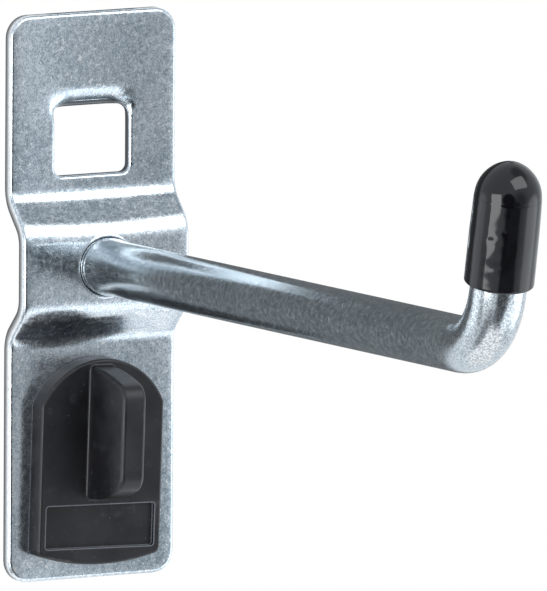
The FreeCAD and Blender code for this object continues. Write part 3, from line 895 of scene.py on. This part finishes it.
@dataclass
class HookRod:
    """The round rod, from its riveted head through the arm to the upturned end, in millimetres."""

    finish: ZincFinish
    radius: float = 3.0
    rivet_top: float = -2.1
    rivet_rim: float = -3.4
    rivet_radius: float = 2.6
    rivet_crown: float = 1.4
    rivet_height: float = 0.9
    tenon_radius: float = 2.0
    seat: float = -4.9
    seat_radius: float = 3.15
    seat_round: float = 0.10
    seat_taper: float = 4.0
    corner_reach: float = 93.0
    tilt: float = 2.0
    tilt_radius: float = 12.0
    bend: float = 8.5
    lean: float = 11.5
    upturn: float = 17.7
    end_round: float = 0.8
    around: int = 72
    rows: int = 120

    def route(self) -> Route:
        """The rod's middle line, from the rivet's top to the upturned end."""
        turn = 90.0 - self.tilt - self.lean
        tangent = self.bend * math.tan(math.radians(turn / 2))
        easing = self.tilt_radius * math.tan(math.radians(self.tilt / 2))
        arm = (self.corner_reach + self.seat) / math.cos(math.radians(self.tilt))
        return Route((self.rivet_top, 0.0), 180.0, (
            (self.rivet_top - self.seat, 0.0), (self.tilt_radius, -self.tilt),
            (arm - 2 * easing - tangent, 0.0), (self.bend, -turn), (self.upturn - tangent, 0.0),
        ))

    def _sections(self, length: float) -> list[tuple[float, float]]:
        """Distances along the rod with their radii."""
        rim = self.rivet_top - self.rivet_rim
        seat = self.rivet_top - self.seat
        sections = [(0.0, self.rivet_crown)]
        for angle in quarter_turn(8)[1:]:
            sections.append((self.rivet_height * (1 - math.cos(angle)),
                             self.rivet_crown + (self.rivet_radius - self.rivet_crown) * math.sin(angle)))
        sections += [(rim, self.rivet_radius), (rim, self.tenon_radius), (seat, self.tenon_radius)]
        sections.append((seat, self.seat_radius - self.seat_round))
        for near, far in rounding(4)[1:]:
            sections.append((seat + self.seat_round * near, self.seat_radius - self.seat_round * far))
        for share in spread(0.0, 1.0, 8)[1:]:
            sections.append((seat + self.seat_round + share * self.seat_taper,
                             self.seat_radius + (self.radius - self.seat_radius) * smooth_share(share)))
        start = sections[-1][0]
        sections += [(stop, self.radius) for stop in spread(start, length - self.end_round, self.rows)[1:]]
        for near, far in rounding(6)[1:]:
            sections.append((length - self.end_round * far, self.radius - self.end_round * near))
        return sections

    def build(self) -> Item:
        """Makes the rod's mesh and puts it in the solid's place.

        Returns:
            The rod's object.
        """
        route = self.route()
        form = bmesh.new()
        rings = []
        for distance, radius in self._sections(route.ends()[-1]):
            rings.append(round_ring(route, distance, radius, self.around))
        skin_rings(form, rings)
        tone = form.verts.layers.float.new(STRETCHED)
        reach = self.corner_reach - self.bend
        for vert in form.verts:
            vert[tone] = smooth_share((-vert.co.y - reach) / self.bend)
        item = finish_mesh("rod", form, self.finish.build())
        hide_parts("hook_rod")
        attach(item, ROOT)
        return item


def round_ring(route: Route, distance: float, radius: float | list[float], count: int) -> list[Vector]:
    """A ring of points square to a route.

    Args:
        route: The middle line.
        distance: How far along it the ring lies.
        radius: The ring's radius, or one for each point.
        count: How many points it has.

    Returns:
        The ring's points.
    """
    place, heading = route.at(distance)
    centre = Vector((0.0, place.x, place.y))
    above = Vector((0.0, math.sin(heading), -math.cos(heading)))
    radii = radius if isinstance(radius, list) else [radius] * count
    ring = []
    for index, size in enumerate(radii):
        angle = math.tau * index / count
        outward = math.cos(angle) * Vector((1.0, 0.0, 0.0)) + math.sin(angle) * above
        ring.append(centre + size * outward)
    return ring


@dataclass
class EndCap:
    """The dipped vinyl cap over the rod's end, a little uneven, in millimetres."""

    finish: VinylFinish
    rod: HookRod
    rim_up: float = 7.52
    inside: float = 3.02
    wall: float = 0.7
    length: float = 13.5
    lip: float = 0.25
    ripple: float = 0.05
    ripple_size: float = 2.2
    ripple_squash: float = 0.8
    fine_share: float = 0.22
    fine_scale: float = 3.1
    fine_shift: Colour = (7.0, 3.0, 1.0)
    gate_angle: float = 11.0
    gate_depth: float = 0.05
    gate_width: float = 0.10
    step_height: float = 9.7
    step: float = 0.03
    step_width: float = 0.2
    crown: float = 0.003
    crown_start: float = 3.6
    blemishes: tuple[tuple[float, float, float, float], ...] = (
        (219.0, 5.7, 0.30, 0.032), (221.0, 5.2, 0.22, 0.018), (241.0, 6.8, 0.24, 0.022),
        (228.0, 2.9, 0.50, 0.026), (240.0, 2.9, 0.60, 0.026),
    )
    around: int = 160
    barrel_rows: int = 90
    dome_rows: int = 80
    dome_end: float = 88.0

    def _sections(self) -> list[tuple[float, float, bool]]:
        """Distances from the rim with their radii, and whether the ring is on the outside."""
        outside = self.inside + self.wall
        barrel = self.length - outside
        floor = barrel + self.wall
        sections = [(floor, self.inside * share, False) for share in (0.3, 0.7, 0.97)]
        sections += [(height, self.inside, False) for height in spread(floor - 0.1, 0.1, 6)]
        sections.append((0.0, self.inside + 0.1, False))
        for near, far in rounding(5):
            sections.append((self.lip * near, outside - self.lip * far, True))
        sections += [(height, outside, True) for height in spread(self.lip, barrel, self.barrel_rows)[1:]]
        for angle in spread(0.0, math.radians(self.dome_end), self.dome_rows)[1:]:
            sections.append((barrel + outside * math.sin(angle), outside * math.cos(angle), True))
        return sections

    def _uneven(self, distance: float, angle: float, radius: float) -> float:
        """How far the dipped surface lies inside the true round."""
        spot = Vector((radius * math.cos(angle), radius * math.sin(angle),
                       distance * self.ripple_squash)) / self.ripple_size
        soft = 0.5 + 0.5 * noise.noise(spot)
        fine = 0.5 + 0.5 * noise.noise(spot * self.fine_scale + Vector(self.fine_shift))
        deep = self.ripple * ((1 - self.fine_share) * soft + self.fine_share * fine)
        for turn, height, size, depth in self.blemishes:
            aside = radius * (angle - math.radians(turn))
            deep += depth * math.exp(-(aside ** 2 + (distance - height) ** 2) / size ** 2)
        deep += self.step * smooth_share(0.5 + (distance - self.step_height) / self.step_width)
        deep += self.crown * max(0.0, distance - self.crown_start) ** 2
        gate = (self.inside + self.wall) * math.sin(math.radians(self.gate_angle))
        if distance > self.length / 2:
            deep += self.gate_depth * math.exp(-((radius - gate) / self.gate_width) ** 2)
        return deep

    def build(self) -> Item:
        """Makes the cap's mesh and puts it in the solid's place.

        Returns:
            The cap's object.
        """
        route = self.rod.route()
        start = route.ends()[-1] - self.rod.upturn + self.rim_up
        longer = (route.parts[-1][0] + self.length, 0.0)
        reach = Route(route.start, route.heading, (*route.parts[:-1], longer))
        form = bmesh.new()
        rings = []
        for distance, radius, outside in self._sections():
            radii = []
            for index in range(self.around):
                angle = math.tau * index / self.around
                radii.append(radius - (self._uneven(distance, angle, radius) if outside else 0.0))
            rings.append(round_ring(reach, start + distance, radii, self.around))
        skin_rings(form, rings)
        item = finish_mesh("cap", form, self.finish.build())
        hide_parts("end_cap")
        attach(item, ROOT)
        return item


@dataclass
class LockingClip:
    """The moulded clip, whose solid has its true form and takes its finish."""

    finish: MouldedFinish

    def dress(self) -> Item:
        """Gives the clip's solid its finish.

        Returns:
            The clip's object.
        """
        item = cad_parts["locking_clip"]
        material = self.finish.build()
        item.data.materials.clear()
        item.data.materials.append(material)
        LOG.info("locking_clip takes %s", material.name)
        return item


@dataclass(frozen=True)
class Lamp:
    """A soft studio lamp that looks at the object."""

    name: str
    azimuth: float
    elevation: float
    distance: float
    width: float
    height: float
    power: float

    def build(self) -> Item:
        """Makes the lamp.

        Returns:
            The lamp's object.
        """
        data = bpy.data.lights.new(self.name, "AREA")
        data.shape = "RECTANGLE"
        data.size = self.width
        data.size_y = self.height
        data.energy = self.power
        item = new_item(self.name, data)
        away = direction(self.azimuth, self.elevation)
        item.location = Vector(LAMP_AIM) + away * self.distance
        item.rotation_euler = away.to_track_quat("Z", "Y").to_euler()
        LOG.info("lamp %s at %s", self.name, tuple(round(value, 3) for value in item.location))
        return item


@dataclass(frozen=True)
class Glow:
    """A soft bright or dark patch of the room that the metal mirrors."""

    azimuth: float
    elevation: float
    inner: float
    outer: float
    level: float

    def add_to(self, nodes: Nodes, level: Socket, ray: Socket) -> Socket:
        """Blends the patch over the room's level so far.

        Args:
            nodes: The world's nodes.
            level: The room's level so far.
            ray: The direction looked in.

        Returns:
            The new level.
        """
        along = nodes.add("VectorMath", ray, direction(self.azimuth, self.elevation),
                          operation="DOT_PRODUCT")
        rim = (math.cos(math.radians(self.outer)), math.cos(math.radians(self.inner)))
        return nodes.blended(nodes.share(along.outputs["Value"], rim), level, self.level)


@dataclass
class Studio:
    """The pale floor, the surrounding light and the lamps."""

    floor_edges: tuple[float, float, float, float] = (-0.22, 0.22, -0.30, 0.14)
    floor_drop: float = 0.40
    floor_lift: float = 0.45
    floor_colour: Colour = (0.88, 0.88, 0.88)
    daylight: Colour = (0.60, 0.61, 0.62)
    room_tint: Colour = (0.93, 0.985, 1.03)
    room_level: float = 1.00
    glows: tuple[Glow, ...] = (
        Glow(180.0, 0.0, 32.0, 42.0, 0.16),
        Glow(-122.0, -10.0, 10.0, 20.0, 1.60),
        Glow(13.0, -8.0, 0.0, 34.0, 0.40),
        Glow(-60.0, -64.0, 18.0, 38.0, 0.35),
        Glow(-6.0, -34.0, 19.0, 27.0, 0.12),
        Glow(-26.0, -6.0, 18.0, 24.0, 0.01),
        Glow(36.0, -47.0, 10.0, 18.0, 1.70),
        Glow(-97.0, -27.0, 5.0, 11.0, 0.45),
        Glow(72.0, 62.0, 10.0, 30.0, 0.45),
        Glow(72.0, -22.0, 14.0, 28.0, 2.40),
    )
    lamps: tuple[Lamp, ...] = (
        Lamp("key_front_right", 22.0, 43.0, 1.0, 0.85, 0.58, 4.4),
        Lamp("window_left", -65.0, -4.5, 1.0, 0.62, 0.60, 4.8),
    )

    def build(self) -> None:
        """Makes the floor, the world and the lamps."""
        self._floor()
        self._world()
        for lamp in self.lamps:
            lamp.build()

    def _floor(self) -> None:
        """Makes the pale floor under the hook, which keeps its shadow."""
        mesh = bpy.data.meshes.new("floor")
        left, right, front, back = self.floor_edges
        corners = [(left, front), (right, front), (right, back), (left, back)]
        mesh.from_pydata([(x, y, -self.floor_drop) for x, y in corners], [], [(0, 1, 2, 3)])
        floor = new_item("floor", mesh)
        material = bpy.data.materials.new("floor_pale")
        material.use_nodes = True
        nodes = Nodes(material.node_tree)
        shader = nodes.add("BsdfPrincipled", Base_Color=(*self.floor_colour, 1.0), Roughness=0.8)
        rays = nodes.add("LightPath").outputs
        seen = nodes.either(rays["Is Camera Ray"], rays["Is Glossy Ray"])
        through = nodes.either(seen, rays["Is Transmission Ray"])
        lift = nodes.add("Math", through, self.floor_lift, operation="MULTIPLY")
        glow = nodes.add("Emission", Strength=lift.outputs[0])
        both = nodes.add("AddShader", shader.outputs["BSDF"], glow.outputs[0])
        nodes.add("OutputMaterial", both.outputs[0])
        mesh.materials.append(material)

    def _world(self) -> None:
        """Makes the surrounding light: white behind the hook, a studio room in the metal."""
        world = bpy.data.worlds.new("studio")
        bpy.context.scene.world = world
        world.use_nodes = True
        nodes = Nodes(world.node_tree)
        ray = nodes.add("TexCoord").outputs["Generated"]
        start = nodes.add("Value")
        start.outputs[0].default_value = self.room_level
        level = start.outputs[0]
        for glow in self.glows:
            level = glow.add_to(nodes, level, ray)
        room = nodes.add("Background", Color=(*self.room_tint, 1.0), Strength=level)
        plain = nodes.add("Background", Color=(*self.daylight, 1.0), Strength=1.0)
        behind = nodes.add("Background", Color=(1.0, 1.0, 1.0, 1.0), Strength=1.0)
        rays = nodes.add("LightPath").outputs
        mirrored = nodes.shaded(rays["Is Glossy Ray"], plain.outputs[0], room.outputs[0])
        seen = nodes.either(rays["Is Camera Ray"], rays["Is Transmission Ray"])
        nodes.add("OutputWorld", nodes.shaded(seen, mirrored, behind.outputs[0]))


@dataclass(frozen=True)
class Viewpoint:
    """The long lens that looks at the hook as in the photograph."""

    azimuth: float = 27.553
    elevation: float = 8.636
    roll: float = 0.354
    distance: float = 2.8
    pixels_per_mm: float = 9.2711
    origin_column: float = 86.890
    origin_row: float = 260.267

    def build(self) -> Item:
        """Makes the camera and sets it as the scene's own.

        Returns:
            The camera's object.
        """
        turn, tilt = math.radians(self.azimuth), math.radians(self.roll)
        back = direction(-self.azimuth, self.elevation)
        level = Vector((math.cos(turn), -math.sin(turn), 0.0))
        above = back.cross(level)
        right = math.cos(tilt) * level + math.sin(tilt) * above
        up = -math.sin(tilt) * level + math.cos(tilt) * above
        pixels_per_metre = self.pixels_per_mm / MM
        aside = (self.origin_column - IMAGE_WIDTH / 2) / pixels_per_metre
        below = -(self.origin_row - IMAGE_HEIGHT / 2) / pixels_per_metre
        place = back * self.distance - right * aside - up * below
        data = bpy.data.cameras.new("photo_lens")
        data.sensor_width = SENSOR
        data.lens = pixels_per_metre * self.distance * SENSOR / max(IMAGE_WIDTH, IMAGE_HEIGHT)
        data.clip_start = 0.01
        data.clip_end = 20.0
        item = new_item("photo_lens", data)
        turned = Matrix((right, up, back)).transposed()
        item.matrix_world = Matrix.Translation(place) @ turned.to_4x4()
        bpy.context.scene.camera = item
        LOG.info("camera lens %.1f mm at %.2f m", data.lens, self.distance)
        return item


def main() -> None:
    """Builds and dresses the pieces, then the studio and the camera."""
    logging.basicConfig(level=logging.INFO, format="%(name)s: %(message)s")
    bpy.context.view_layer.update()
    Viewpoint().build()
    Studio().build()
    rod = HookRod(ROD_ZINC)
    HookPlate(PLATE_ZINC).build()
    rod.build()
    EndCap(CAP_BLACK, rod).build()
    LockingClip(CLIP_BLACK).dress()
    bpy.context.scene.view_settings.view_transform = "Standard"


if __name__ == "__main__":
    main()
